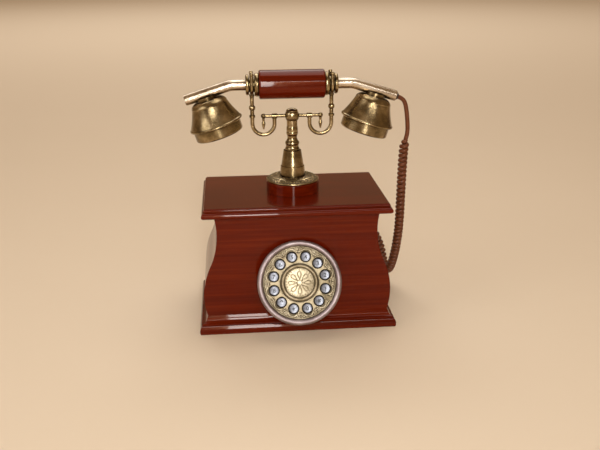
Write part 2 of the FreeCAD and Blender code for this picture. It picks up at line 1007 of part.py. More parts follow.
# Handset, made on its right half and mirrored
def tubeEnd():
    angle = math.radians(tubeSlope)
    return V(tubeBendX + tubeReach * math.cos(angle), 0, handsetZ - tubeReach * math.sin(angle))


def tubeWay():
    angle = math.radians(tubeSlope)
    return V(math.cos(angle), 0, -math.sin(angle))


def tubeSolid(r, extra):
    start = V(grooveX, 0, handsetZ)
    corner = V(tubeBendX, 0, handsetZ)
    setback = tubeBendR * math.tan(math.radians(tubeSlope) / 2)
    into = corner - V(setback, 0, 0)
    out = corner + tubeWay() * setback
    path = Part.Wire([
        Part.LineSegment(start, into).toShape(),
        tangentArc(into, corner, out),
        Part.LineSegment(out, tubeEnd() + tubeWay() * extra).toShape(),
    ])
    return path.makePipeShell([Part.Wire(Part.makeCircle(r, start, V(1, 0, 0)))], True, False)


def alongHandset(shape):
    placed = shape.copy()
    placed.rotate(V(0, 0, 0), V(0, 1, 0), 90)
    placed.translate(V(0, 0, handsetZ))
    return placed


def cupWay():
    angle = math.radians(tubeSlope)
    return V(-math.sin(angle), 0, -math.cos(angle))


# Places a shape made about +Z, with zero on the tube's axis, under the sloping tube.
def underTube(shape):
    placed = shape.copy()
    at = V(tubeBendX, 0, handsetZ) + tubeWay() * cupAlong
    placed.Placement = FreeCAD.Placement(at, FreeCAD.Rotation(V(0, 0, 1), cupWay()))
    return placed


def makeGrip():
    edge = gripRound
    corner = roundShare * edge
    grip = turned(
        (tieRodR + seatGap, -gripHalf),
        (gripR - edge, -gripHalf),
        (gripR - corner, -gripHalf + corner, gripR, -gripHalf + edge),
        (gripR, gripHalf - edge),
        (gripR - corner, gripHalf - corner, gripR - edge, gripHalf),
        (tieRodR + seatGap, gripHalf),
    )
    return alongHandset(grip)


def makeRightCollar():
    a = gripHalf
    b = grooveX - grooveHalf
    c = grooveX + grooveHalf
    d = c + outerFlangeWide
    webEnd = grooveX
    spool = turned(
        (tieRodR + seatGap, a),
        (innerFlangeR, a),
        (innerFlangeR + innerFlangeSwell, (a + b) / 2, innerFlangeR - innerFlangeIn, b),
        (grooveR, b),
        (grooveR, c),
        (outerFlangeR - outerFlangeFootIn, c),
        (outerFlangeR + outerFlangeSwell, (c + d) / 2, outerFlangeR - outerFlangeIn, d),
        (tubeR + seatGap, d),
        (tubeR + seatGap, webEnd),
        (tieRodR + seatGap, webEnd),
    )
    return alongHandset(spool)


def makeRightTube():
    tube = tubeSolid(tubeR, 0).cut(tubeSolid(tubeBoreR, overcut))
    at = V(tubeBendX, 0, handsetZ) + tubeWay() * cupAlong
    return tube.cut(rod(at, at + cupWay() * (tubeR + overcut), tubeHoleR))


def makeTieRod():
    end = grooveX + tieNutTall
    return Part.makeCompound([rod(V(-end, 0, handsetZ), V(end, 0, handsetZ), tieRodR)] + tieNuts())


def tieNuts():
    nuts = []
    for sx in (-1, 1):
        a = V(sx * grooveX, 0, handsetZ)
        b = V(sx * (grooveX + tieNutTall), 0, handsetZ)
        nuts.append(rod(a, b, tieNutR).cut(rod(a - (b - a), b + (b - a), tieRodR)))
    return nuts


def makeRightCup():
    wall = cupWall
    dome = cupNeckDown + cupDomeSwell
    domeR = (cupNeckR + cupShoulderR) / 2 + cupDomeSwell
    flank = (cupShoulderR + cupRimR) / 2 - cupFlankIn
    rimIn = cupRimR - cupRimIn
    halfway = (cupShoulderDown + cupRimDown) / 2
    cup = turned(
        (tubeBoreR, cupNeckTop),
        (cupNeckR, cupNeckTop),
        (cupNeckR, cupNeckDown),
        (domeR, dome, cupShoulderR, cupShoulderDown),
        (cupShoulderR, cupShoulderDown + cupShoulderTall),
        (flank, halfway, rimIn, cupRimDown - cupRimHalf),
        (cupRimR, cupRimDown, rimIn, rimEnd),
        (capOuterR - wall, rimEnd),
        (flank - wall, halfway, cupShoulderR - wall, cupShoulderDown + wall),
        (tubeBoreR, cupShoulderDown),
    )
    return underTube(cup).cut(tubeSolid(tubeR, 0))


def makeRightCap():
    inner = capOuterR - 2 * cupWall
    faceR = capOuterR - capRound
    cap = turned(
        (inner, capHigh),
        (capOuterR, capHigh),
        (capOuterR, capLow - capRound),
        (capOuterR - capTaper, capLow - capRoundMid, faceR, capLow),
        crown(faceR, capLow, -capHollow),
        (0, capInside),
        (inner, capInside),
    )
    holes = [V(0, 0, capHigh)]
    for count, r in voiceRings:
        for k in range(count):
            angle = 2 * math.pi * k / count
            holes.append(V(r * math.cos(angle), r * math.sin(angle), capHigh))
    cap = cap.cut([rod(at, at + V(0, 0, 2 * capDown), voiceHoleR) for at in holes])
    return underTube(cap)


def makeRightCapsule():
    return underTube(rod(V(0, 0, capInside - capsuleTall), V(0, 0, capInside), capsuleR))


def makeTubePlug():
    end = tubeEnd()
    way = tubeWay()
    head = rod(end, end + way * plugHead, tubeR - plugHeadIn)
    return mirrored(joined([rod(end - way * plugTall, end, tubeBoreR), head]))


# Cord and its two grommets
def makeHandsetGrommet():
    end = tubeEnd()
    way = tubeWay()
    nose = Part.makeCone(tubeR - plugHeadIn, cordR + grommetNose, grommetTall, end, way)
    bush = joined([rod(end - way * plugTall, end, tubeBoreR), nose])
    return bush.cut(rod(end - way * 2 * plugTall, end + way * 2 * grommetTall, cordR))


def grommetEnd(out):
    return V(grommetX, caseHalfDepth + out, grommetZ)


def makeCaseGrommet():
    bush = rod(grommetEnd(-frontThick), grommetEnd(0), grommetR)
    nose = Part.makeCone(grommetR + grommetLip, cordR + grommetNose, grommetTall, grommetEnd(0), V(0, 1, 0))
    return joined([bush, nose]).cut(rod(grommetEnd(-2 * frontThick), grommetEnd(2 * frontThick), cordR))


# The line of the cord: the lead from the handset, the hanging curls, and the lead into the back of the case.
def cordRoute():
    return [
        tubeEnd() + tubeWay() * (grommetTall + airGap + 2 * cordR),
        V(128.3, 0, 244),
        V(130.5, 0, 233),
        V(132, 0.5, 220),
        V(132.5, 1, 208),
        V(129.8, 1.8, 198),
        V(128.6, 2.5, 186),
        V(128.4, 5, 163),
        V(128.7, 8, 144),
        V(129, 11.5, 122),
        V(129.6, 16, 98),
        V(129.6, 23, 74),
        V(128.2, 31, 50),
        V(126, 41, 29),
        V(124, 55, 19),
        V(122.5, 71, 24),
        V(120.5, 80, 41),
        V(114.5, 85, 57),
        V(104.5, 88, 69),
        V(92, 89, 74.5),
        V(80.5, 89, 76.2),
        V(73, 84.5, 76.4),
        V(70.3, 77, 76.1),
        grommetEnd(grommetTall + 2 * cordR),
    ]


def cordLine():
    poles = cordRoute()
    count = len(poles)
    line = Part.BSplineCurve()
    line.buildFromPolesMultsKnots(poles, [3] + [1] * (count - 3) + [3], list(range(count - 1)), False, 2)
    return line


# Points along the line with a side direction that turns as little as the line lets it.
def cordFrames(line):
    frames = []
    side = V(0, 1, 0)
    for k in range(frameCount + 1):
        u = line.parameterAtDistance(line.length() * k / frameCount, line.FirstParameter)
        way = line.tangent(u)[0].normalize()
        side = (side - way * side.dot(way)).normalize()
        frames.append((line.value(u), side, way.cross(side)))
    return frames


# How far the wire stands out from the line: nothing on the leads, and between them the curl's radius, eased in.
def curlReach(turn):
    ease = max(0.0, min(1.0, min(turn, curlCount - turn) / easeTurns))
    return curlR * ease * ease * (3 - 2 * ease)


def cordPoint(frames, share, long):
    turn = curlCount * (share * long - leadTop) / (long - leadTop - leadEnd)
    turn = max(0.0, min(curlCount, turn))
    place = share * frameCount
    k = min(int(place), frameCount - 1)
    part = place - k
    here, side, other = (frames[k][i] * (1 - part) + frames[k + 1][i] * part for i in range(3))
    angle = 2 * math.pi * turn
    return here + (side * math.cos(angle) + other * math.sin(angle)) * curlReach(turn)


def makeCurlyCord():
    line = cordLine()
    long = line.length()
    frames = cordFrames(line)
    halfTurns = 2 * curlCount
    coil = long - leadTop - leadEnd
    alongs = [leadTop * k / leadSteps for k in range(leadSteps)]
    alongs += [leadTop + coil * k / halfTurns for k in range(halfTurns + 1)]
    alongs += [long - leadEnd + leadEnd * (k + 1) / leadSteps for k in range(leadSteps)]
    points = []
    directions = []
    for along in alongs:
        low = cordPoint(frames, max(0.0, (along - tangentStep) / long), long)
        high = cordPoint(frames, min(1.0, (along + tangentStep) / long), long)
        points.append(cordPoint(frames, along / long, long))
        directions.append((high - low).normalize())
    directions[0] = tubeWay()
    directions[-1] = V(0, -1, 0)
    points = [points[0] - tubeWay() * 2 * cordR] + points + [points[-1] - V(0, 2 * cordR, 0)]
    directions = [tubeWay()] + directions + [V(0, -1, 0)]
    wire = wireAlong(points, directions, cordR)
    dense = [cordPoint(frames, k / gapPoints, long) for k in range(gapPoints + 1)]
    step = sum((dense[k + 1] - dense[k]).Length for k in range(gapPoints)) / gapPoints
    gap = leastSelfGap(dense, cordR, int(4 * curlR / step))
    print("cord line", round(long), "wire", round(step * gapPoints), "pitch", round(coil / curlCount, 2))
    share = wire.Volume / (math.pi * cordR ** 2 * step * gapPoints)
    print("cord self gap", round(gap, 2), "volume share", round(share, 3))
    spans = 8 * (len(cordRoute()) - 2)
    tightest = min(1 / max(line.curvature(k / 8), 1e-9) for k in range(spans + 1))
    print("tightest radius of the line", round(tightest, 1))
    return wire


def makeCaseScrews():
    groups = [makeBaseScrews(), cleatScrews(), makeDialScrews(), makeBracketScrews(), makeBoardScrews()]
    return Part.makeCompound([solid for group in groups for solid in group.Solids])


def pair(shape):
    return Part.makeCompound([shape, mirrored(shape)])


def save(name, shape):
    shape.exportStep("parts/" + name + ".step")


os.makedirs("parts", exist_ok=True)
save("plinth", makePlinth())
save("base_panel", makeBasePanel())
save("front_panel", makeFrontPanel())
save("back_panel", makeBackPanel())
save("right_side", makeRightSide())
save("left_side", mirrored(makeRightSide()))
save("lid", makeLid())
save("glue_blocks", makeGlueBlocks())
save("case_screws", makeCaseScrews())
save("dial_cup", makeDialCup())
save("dial_bezel", makeBezel())
save("dial_plate", makeDialPlate())
save("dial_medallion", makeMedallion())
save("finger_stop", makeFingerStop())
save("button_rims", makeButtonRims())
for number, name in enumerate(buttonNames):
    save("button_" + name, makeButton(number))
save("keypad_mat", makeKeypadMat())
save("keypad_board", makeKeypadBoard())
save("pedestal_disc", makePedestalDisc())
save("column_flange", makeColumnFlange())
save("column_sleeve", makeColumnSleeve())
save("column_collar", makeColumnCollar())
save("column_nut", makeColumnNut())
save("plunger_rod", makePlungerRod())
save("cradle_neck", makeCradleNeck())
save("cradle_ball", makeCradleBall())
save("cradle_cap", makeCradleCap())
save("cross_bar", makeCrossBar())
save("right_fork", makeRightFork())
save("left_fork", mirrored(makeRightFork()))
save("plunger_spring", makePlungerSpring())
save("spring_bracket", makeSpringBracket())
save("main_board", makeMainBoard())
save("hook_switch", makeHookSwitch())
save("switch_plunger", makeSwitchPlunger())
save("ringer", makeRinger())
save("line_jack", makeLineJack())
save("grip", makeGrip())
save("grip_collars", pair(makeRightCollar()))
save("handset_tubes", pair(makeRightTube()))
save("tie_rod", makeTieRod())
save("handset_cups", pair(makeRightCup()))
save("handset_caps", pair(makeRightCap()))
save("microphone", makeRightCapsule())
save("receiver_capsule", mirrored(makeRightCapsule()))
save("tube_plug", makeTubePlug())
save("handset_grommet", makeHandsetGrommet())
save("case_grommet", makeCaseGrommet())
save("curly_cord", makeCurlyCord())
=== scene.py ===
import bpy, bmesh, math
from mathutils import Matrix, Vector


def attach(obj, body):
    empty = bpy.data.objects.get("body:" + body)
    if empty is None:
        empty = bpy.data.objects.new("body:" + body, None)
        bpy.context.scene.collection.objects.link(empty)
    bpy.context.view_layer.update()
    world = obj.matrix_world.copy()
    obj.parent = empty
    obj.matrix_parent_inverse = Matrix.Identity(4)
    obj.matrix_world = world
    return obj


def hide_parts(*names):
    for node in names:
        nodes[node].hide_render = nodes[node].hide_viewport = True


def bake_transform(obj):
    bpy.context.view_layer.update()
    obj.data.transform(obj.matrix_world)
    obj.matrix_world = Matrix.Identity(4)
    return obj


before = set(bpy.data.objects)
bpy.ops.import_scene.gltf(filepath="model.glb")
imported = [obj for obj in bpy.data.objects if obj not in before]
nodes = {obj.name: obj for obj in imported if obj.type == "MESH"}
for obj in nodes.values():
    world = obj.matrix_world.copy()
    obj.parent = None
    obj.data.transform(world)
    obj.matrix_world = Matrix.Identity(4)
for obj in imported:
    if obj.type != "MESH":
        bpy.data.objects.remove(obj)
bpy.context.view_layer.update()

scene = bpy.context.scene
scene.view_settings.view_transform = "Standard"
mm = 0.001
buttonNames = ["1", "2", "3", "4", "5", "6", "7", "8", "9", "star", "0", "hash"]
print("frame loaded:", len(nodes), "nodes")


# small helpers

def addMesh(name, mesh, material, body=None):
    piece = bpy.data.objects.new(name, mesh)
    scene.collection.objects.link(piece)
    mesh.materials.append(material)
    if body:
        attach(piece, body)
    return piece


def smoothFaces(mesh):
    for face in mesh.polygons:
        face.use_smooth = True


# turns a curve or a text into a mesh, and the curve goes
def curveMesh(name, curve):
    holder = bpy.data.objects.new(name + "Holder", curve)
    scene.collection.objects.link(holder)
    bpy.context.view_layer.update()
    final = holder.evaluated_get(bpy.context.evaluated_depsgraph_get())
    mesh = bpy.data.meshes.new_from_object(final)
    bpy.data.objects.remove(holder)
    bpy.data.curves.remove(curve)
    mesh.name = name
    return mesh


def builtMesh(name, bm):
    mesh = bpy.data.meshes.new(name)
    bm.to_mesh(mesh)
    bm.free()
    return mesh


# one mesh from many round wires, each a list of points with one radius or a list of them
def wireMesh(name, wires, sides=6, closed=False):
    curve = bpy.data.curves.new(name, "CURVE")
    curve.dimensions = "3D"
    curve.bevel_depth = 1.0    # a point's own radius is then the wire's
    curve.bevel_resolution = sides // 2 - 2
    curve.use_fill_caps = not closed
    for points, radii in wires:
        line = curve.splines.new("POLY")
        line.points.add(len(points) - 1)
        line.use_cyclic_u = closed
        for k, p in enumerate(points):
            line.points[k].co = (*p, 1)
            line.points[k].radius = radii[k] if isinstance(radii, list) else radii
    mesh = curveMesh(name, curve)
    smoothFaces(mesh)
    return mesh


# one mesh of small balls, flattened along z and then turned
def beadMesh(name, places, radius, flat=1.0, turn=Matrix.Identity(3)):
    bm = bmesh.new()
    for at in places:
        ball = bmesh.ops.create_icosphere(bm, subdivisions=2, radius=radius)["verts"]
        for v in ball:
            v.co.z *= flat
            v.co = turn @ v.co + Vector(at)
    mesh = builtMesh(name, bm)
    smoothFaces(mesh)
    return mesh


# radii of a wire that gets thinner from its first point to its last
def taperedRadii(first, last, count):
    return [(first + (last - first) * k / (count - 1)) * mm for k in range(count)]


# materials

class Finish:
    def __init__(self, name):
        self.material = bpy.data.materials.new(name)
        self.material.use_nodes = True
        self.tree = self.material.node_tree
        self.shader = self.tree.nodes["Principled BSDF"]

    def add(self, kind, **values):
        node = self.tree.nodes.new(kind)
        for key, value in values.items():
            if key in node.inputs:
                node.inputs[key].default_value = value
            else:
                setattr(node, key, value)
        return node

    def link(self, out, into):
        self.tree.links.new(out, into)

    def place(self, stretch=(1, 1, 1)):
        coords = self.add("ShaderNodeTexCoord")
        mapping = self.add("ShaderNodeMapping", Scale=stretch)
        self.link(coords.outputs["Object"], mapping.inputs["Vector"])
        return mapping.outputs["Vector"]

    def noise(self, vector, scale, detail, roughness=0.55, distortion=0.0):
        node = self.add("ShaderNodeTexNoise", Scale=scale, Detail=detail, Roughness=roughness,
                        Distortion=distortion)
        self.link(vector, node.inputs["Vector"])
        return node.outputs["Fac"]

    def ramp(self, factor, stops):
        node = self.add("ShaderNodeValToRGB")
        bar = node.color_ramp
        while len(bar.elements) < len(stops):
            bar.elements.new(0.5)    # any place does, the stops follow
        for element, (at, colour) in zip(bar.elements, stops):
            element.position = at
            element.color = (*colour, 1)
        self.link(factor, node.inputs["Fac"])
        return node.outputs["Color"]

    def span(self, factor, low, high):
        node = self.add("ShaderNodeMapRange")
        node.inputs["To Min"].default_value = low
        node.inputs["To Max"].default_value = high
        self.link(factor, node.inputs["Value"])
        return node.outputs["Result"]

    # how open a point is, by ambient occlusion; put into a colour it paints shade into recesses
    def recessShade(self, distance):
        node = self.add("ShaderNodeAmbientOcclusion", Distance=distance, samples=6)
        return node.outputs["AO"]

    def times(self, first, second):
        node = self.add("ShaderNodeMath", operation="MULTIPLY")
        self.link(first, node.inputs[0])
        self.link(second, node.inputs[1])
        return node.outputs["Value"]

    def bump(self, height, strength, distance):
        node = self.add("ShaderNodeBump", Strength=strength, Distance=distance)
        self.link(height, node.inputs["Height"])
        self.link(node.outputs["Normal"], self.shader.inputs["Normal"])

    def colour(self, socket):
        self.link(socket, self.shader.inputs["Base Color"])

    def rough(self, socket):
        self.link(socket, self.shader.inputs["Roughness"])

    def fixed(self, **values):
        for key, value in values.items():
            self.shader.inputs[key.replace("_", " ")].default_value = value
        return self


woodLook = {
    "mahogany": [
        (0.30, (0.066, 0.0036, 0.0004)),
        (0.50, (0.092, 0.0058, 0.0005)),
        (0.72, (0.126, 0.0112, 0.0008)),
    ],
    "bare": [(0.28, (0.30, 0.17, 0.08)), (0.52, (0.42, 0.26, 0.13)), (0.78, (0.52, 0.35, 0.19))],
    "alongX": [(7, 150, 300), (24, 1100, 1100)],      # streaks and pores
    "upright": [(150, 150, 7), (1100, 1100, 24)],
    "streaks": {"scale": 1.0, "detail": 8, "roughness": 0.6, "distortion": 0.5},
    "pores": {"scale": 1.0, "detail": 3},
    "rough": (0.14, 0.22),
    "bump": (0.03, 0.0003),    # strength, and depth in metres
    "lacquerRough": 0.035,
    "shine": 0.1,
    # the warm tint on the lacquer's reflections is a painted warm reflection
    "gloss": (1, 0.55, 0.30, 1),    # a lacquer that reflects warm
}


def woodFinish(name, colours, run, coat):
    f = Finish(name)
    streakRun, poreRun = woodLook[run]
    streaks = f.noise(f.place(streakRun), **woodLook["streaks"])
    f.colour(f.ramp(streaks, woodLook[colours]))
    pores = f.noise(f.place(poreRun), **woodLook["pores"])
    f.rough(f.span(pores, *woodLook["rough"]))
    f.bump(pores, *woodLook["bump"])
    f.fixed(Coat_Weight=coat, Coat_Roughness=woodLook["lacquerRough"])
    # painted reflection: the lacquer's specular is tinted warm
    f.fixed(Specular_IOR_Level=woodLook["shine"], Specular_Tint=woodLook["gloss"])
    return f.material


metalLook = {
    "cloud": {"scale": 70, "detail": 6, "roughness": 0.62},
    "stops": (0.06, 0.26, 0.48, 0.72),
    "smear": {"scale": 160, "detail": 5, "roughness": 0.65},
    "smearStretch": (1, 1, 2.5),
    "grit": {"scale": 900, "detail": 3},
    "bump": (0.04, 0.0002),
}

# four tones, from the painted shade and patina in the recesses to the brightest wear on high spots
metalTones = {
    "aged": [(0.014, 0.009, 0.003), (0.098, 0.068, 0.030), (0.300, 0.220, 0.112), (0.580, 0.455, 0.270)],
    "pale": [(0.034, 0.025, 0.016), (0.360, 0.285, 0.200), (0.600, 0.490, 0.370), (0.800, 0.690, 0.550)],
    "dial": [(0.018, 0.012, 0.005), (0.180, 0.142, 0.080), (0.390, 0.325, 0.215), (0.580, 0.510, 0.370)],
    "plate": [(0.015, 0.010, 0.004), (0.150, 0.116, 0.064), (0.310, 0.252, 0.160), (0.450, 0.385, 0.270)],
    "scroll": [(0.012, 0.008, 0.004), (0.085, 0.066, 0.038), (0.190, 0.150, 0.090), (0.280, 0.230, 0.150)],
    "dark": [(0.010, 0.007, 0.003), (0.050, 0.038, 0.022), (0.120, 0.095, 0.060), (0.200, 0.165, 0.110)],
    "pewter": [(0.050, 0.040, 0.040), (0.235, 0.186, 0.186), (0.350, 0.285, 0.285), (0.450, 0.385, 0.385)],
    "steel": [(0.060, 0.060, 0.060), (0.300, 0.300, 0.300), (0.500, 0.500, 0.500), (0.650, 0.650, 0.650)],
}


# the last argument is how near, in metres, other parts must stand for the colour to darken: painted shade by
# ambient occlusion, together with the patina of the recesses
def metalFinish(name, tones, rough, recessShade):
    f = Finish(name)
    cloud = f.noise(f.place(), **metalLook["cloud"])
    # painted shade: the random wear is multiplied by ambient occlusion, so the colour darkens in recesses
    wearAndShade = f.times(cloud, f.recessShade(recessShade))
    f.colour(f.ramp(wearAndShade, list(zip(metalLook["stops"], metalTones[tones]))))
    smear = f.noise(f.place(metalLook["smearStretch"]), **metalLook["smear"])
    f.rough(f.span(smear, *rough))
    f.bump(f.noise(f.place(), **metalLook["grit"]), *metalLook["bump"])
    return f.fixed(Metallic=1.0).material


plainLook = {
    "detail": 4,
    "stops": (0.3, 0.7),
    "gritFiner": 8,    # times as fine as the clouds of colour
    "gritDetail": 2,
    "bump": (0.05, 0.0002),
}


def plainFinish(name, low, high, scale, rough, **sockets):
    f = Finish(name)
    cloud = f.noise(f.place(), scale, plainLook["detail"])
    f.colour(f.ramp(cloud, list(zip(plainLook["stops"], (low, high)))))
    f.rough(f.span(cloud, *rough))
    grit = f.noise(f.place(), scale * plainLook["gritFiner"], plainLook["gritDetail"])
    f.bump(grit, *plainLook["bump"])
    return f.fixed(**sockets).material


woodAlongX = woodFinish("mahoganyLong", "mahogany", "alongX", coat=0.3)
woodUpright = woodFinish("mahoganyUpright", "mahogany", "upright", coat=0.3)
rawWood = woodFinish("bareWood", "bare", "alongX", coat=0.0)
brass = metalFinish("agedBrass", "aged", rough=(0.17, 0.32), recessShade=0.006)
tubeBrass = metalFinish("paleBrass", "pale", rough=(0.2, 0.32), recessShade=0.006)
dialBrass = metalFinish("dialBrass", "dial", rough=(0.34, 0.5), recessShade=0.0016)
plateBrass = metalFinish("plateBrass", "plate", rough=(0.44, 0.58), recessShade=0.0016)
# painted shade: a dark brass for the ground under the scrolls and the rings in the grooves
paintedShadeBrass = metalFinish("paintedShadeBrass", "dark", rough=(0.45, 0.65), recessShade=0.002)
# painted shade: a darker brass for the finger stop
shadedStopBrass = metalFinish("shadedStopBrass", "scroll", rough=(0.45, 0.65), recessShade=0.0016)
pewter = metalFinish("pewter", "pewter", rough=(0.46, 0.6), recessShade=0.003)
steel = metalFinish("steel", "steel", rough=(0.25, 0.42), recessShade=0.004)
keyFace = plainFinish("keyFace", (0.10, 0.104, 0.122), (0.21, 0.215, 0.24), scale=500,
                      rough=(0.27, 0.4), Metallic=0.6, Coat_Weight=0.1)
keyInk = plainFinish("keyInk", (0.004, 0.004, 0.005), (0.010, 0.010, 0.012), scale=600,
                     rough=(0.35, 0.5))
blackPlastic = plainFinish("blackPlastic", (0.004, 0.004, 0.005), (0.011, 0.010, 0.010), scale=300,
                           rough=(0.3, 0.42), Specular_IOR_Level=0.2)
rimBlack = plainFinish("rimBlack", (0.003, 0.003, 0.003), (0.007, 0.006, 0.006), scale=300,
                       rough=(0.45, 0.6), Specular_IOR_Level=0.05)
redPlastic = plainFinish("redPlastic", (0.35, 0.02, 0.015), (0.45, 0.04, 0.02), scale=300,
                         rough=(0.3, 0.45))
circuit = plainFinish("circuit", (0.02, 0.11, 0.045), (0.04, 0.19, 0.08), scale=150,
                      rough=(0.35, 0.5))
rubber = plainFinish("rubber", (0.022, 0.012, 0.009), (0.04, 0.022, 0.016), scale=500,
                     rough=(0.6, 0.8))
cordPlastic = plainFinish("cordPlastic", (0.100, 0.028, 0.010), (0.160, 0.050, 0.018), scale=260,
                          rough=(0.34, 0.5), Specular_IOR_Level=0.25)
print("finishes made")

# what isn't named here is aged brass
finishes = {
    "plinth": woodAlongX, "front_panel": woodAlongX, "back_panel": woodAlongX, "lid": woodAlongX,
    "pedestal_disc": woodAlongX, "grip": woodAlongX, "left_side": woodUpright, "right_side": woodUpright,
    "glue_blocks": rawWood, "base_panel": rawWood,
    # the finger stop's darker brass is painted shade
    "dial_plate": plateBrass, "dial_medallion": dialBrass, "finger_stop": shadedStopBrass,
    "dial_bezel": pewter, "dial_cup": pewter, "handset_tubes": tubeBrass, "tube_plug": tubeBrass,
    "handset_grommet": rubber, "case_grommet": rubber, "keypad_mat": rubber,
    "case_screws": steel, "plunger_rod": steel, "plunger_spring": steel, "spring_bracket": steel,
    "tie_rod": steel, "button_rims": rimBlack, "hook_switch": blackPlastic, "ringer": blackPlastic,
    "line_jack": blackPlastic, "microphone": blackPlastic, "receiver_capsule": blackPlastic,
    "switch_plunger": redPlastic, "keypad_board": circuit, "main_board": circuit,
}
for name in buttonNames:
    finishes["button_" + name] = keyFace
for name, node in nodes.items():
    node.data.materials.clear()
    node.data.materials.append(finishes.get(name, brass))
print("finishes on the frame")


# camera at the photograph's angle

view = {
    "place": (-0.0717, -0.9068, 0.4081),
    "yaw": 5.03,       # degrees to the right
    "pitch": 18.58,    # degrees down
    "roll": -0.43,
    "focalPixels": 819.5,
    "imageWide": 600,
    "sensor": 36,      # millimetres
}


def makeCamera():
    yaw, pitch, roll = (math.radians(view[k]) for k in ("yaw", "pitch", "roll"))
    ahead = Vector((math.sin(yaw) * math.cos(pitch), math.cos(yaw) * math.cos(pitch), -math.sin(pitch)))
    right = Vector((math.cos(yaw), -math.sin(yaw), 0))
    up = right.cross(ahead)
    across = right * math.cos(roll) + up * math.sin(roll)
    upright = up * math.cos(roll) - right * math.sin(roll)
    data = bpy.data.cameras.new("camera")
    data.sensor_width = view["sensor"]
    data.sensor_fit = "HORIZONTAL"
    data.lens = view["focalPixels"] / view["imageWide"] * data.sensor_width
    camera = bpy.data.objects.new("camera", data)
    turn = Matrix((across, upright, -ahead)).transposed().to_4x4()
    camera.matrix_world = Matrix.Translation(view["place"]) @ turn
    scene.collection.objects.link(camera)
    scene.camera = camera


makeCamera()
print("camera set")


# handset cord: two leads and the curls between, all one wire

cordLook = {
    "wire": 2.5,       # radius in millimetres
    "sides": 10,
    "curl": 3.15,
    "curls": 51,
    "perTurn": 18,     # points
    "ease": 1.5,       # turns in which the curls open out
    "leadTop": 60.2,
    "leadEnd": 44.2,
    "leadTopPoints": 30,
    "leadEndPoints": 24,
    "length": 1.12,    # metres of wire
    "fine": 16,        # points of the line for each of the route's
    "route": [
        (113.6, 0, 252.8), (123.6, 0, 249.5), (128.3, 0, 244), (130.5, 0, 233), (132, 0.5, 220),
        (132.5, 1, 208), (129.8, 1.8, 198), (128.6, 2.5, 186), (128.4, 5, 163), (128.7, 8, 144),
        (129, 11.5, 122), (129.6, 16, 98), (129.6, 23, 74), (128.2, 31, 50), (126, 41, 29),
        (124, 55, 19), (122.5, 71, 24), (120.5, 80, 41), (114.5, 85, 57), (104.5, 88, 69),
        (92, 89, 74.5), (80.5, 89, 76.2), (73, 84.5, 76.4), (70.3, 77, 76.1), (70, 68.5, 76),
        (70, 58, 76),
    ],
}


def routeLine(route):
    curve = bpy.data.curves.new("cordRoute", "CURVE")
    curve.dimensions = "3D"
    curve.resolution_u = cordLook["fine"]
    line = curve.splines.new("NURBS")
    line.points.add(len(route) - 1)
    for k, p in enumerate(route):
        line.points[k].co = (p[0] * mm, p[1] * mm, p[2] * mm, 1)
    line.order_u = 3
    line.use_endpoint_u = True
    mesh = curveMesh("cordRoute", curve)
    points = [v.co.copy() for v in mesh.vertices]
    bpy.data.meshes.remove(mesh)
    return points


# two directions square to the line at each of its points, and its length up to there
def lineFrames(line):
    sides, alongs = [], [0.0]
    side = Vector((0, 1, 0))
    for k, here in enumerate(line):
        way = (line[min(k + 1, len(line) - 1)] - line[max(k - 1, 0)]).normalized()
        side = (side - way * side.dot(way)).normalized()
        sides.append((side.copy(), way.cross(side)))
        if k:
            alongs.append(alongs[-1] + (here - line[k - 1]).length)
    return sides, alongs


def curledPoints(line, look):
    sides, alongs = lineFrames(line)
    total = alongs[-1]
    first, last = look["leadTop"] * mm, total - look["leadEnd"] * mm
    top, end = look["leadTopPoints"], look["leadEndPoints"]
    count = look["curls"] * look["perTurn"]
    steps = [first * k / top for k in range(top)]
    steps += [first + (last - first) * k / count for k in range(count + 1)]
    steps += [last + (total - last) * (k + 1) / end for k in range(end)]
    points, at = [], 0
    for along in steps:
        while at < len(line) - 2 and alongs[at + 1] < along:
            at += 1
        part = (along - alongs[at]) / (alongs[at + 1] - alongs[at])
        here = line[at].lerp(line[at + 1], part)
        out = sides[at][0].lerp(sides[at + 1][0], part)
        over = sides[at][1].lerp(sides[at + 1][1], part)
        turn = min(max((along - first) / (last - first), 0), 1) * look["curls"]
        ease = min(1.0, min(turn, look["curls"] - turn) / look["ease"])
        reach = look["curl"] * mm * ease * ease * (3 - 2 * ease)
        angle = 2 * math.pi * turn
        points.append(here + (out * math.cos(angle) + over * math.sin(angle)) * reach)
    return points


def makeCord():
    points = curledPoints(routeLine(cordLook["route"]), cordLook)
    mesh = wireMesh("curlyCord", [(points, cordLook["wire"] * mm)], cordLook["sides"])
    piece = addMesh("curlyCord", mesh, cordPlastic)
    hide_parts("curly_cord")
    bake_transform(piece)
    long = sum((b - a).length for a, b in zip(points, points[1:]))
    print("cord of", round(long, 3), "m")


makeCord()


# dial: its plane, then scrollwork, rosette and numbers, all in millimetres and degrees

dialLook = {
    "centre": (0, -0.081, 0.063),    # metres
    "tilt": 20,
    "face": 1.0,          # plate's front, from its middle
    "hub": 20.5,
    "medallion": 16.4,
    "medallionTall": 1.4,
    "medallionEdge": 0.3,
}
dialLean = Matrix.Rotation(math.radians(90 - dialLook["tilt"]), 4, "X")
dialTurn = Matrix.Translation(dialLook["centre"]) @ dialLean
beadTurn = dialTurn.to_3x3()


def onDial(x, y, z):
    return dialTurn @ Vector((x * mm, y * mm, z * mm))


# degrees go with the clock from the top
def around(radius, degrees, z):
    angle = math.radians(degrees)
    return onDial(radius * math.sin(angle), radius * math.cos(angle), z)


def ringPoints(radius, z, count=96):
    return [around(radius, 360 * k / count, z) for k in range(count)]


def dialPiece(name, mesh, finish):
    addMesh(name, mesh, finish, "housing")


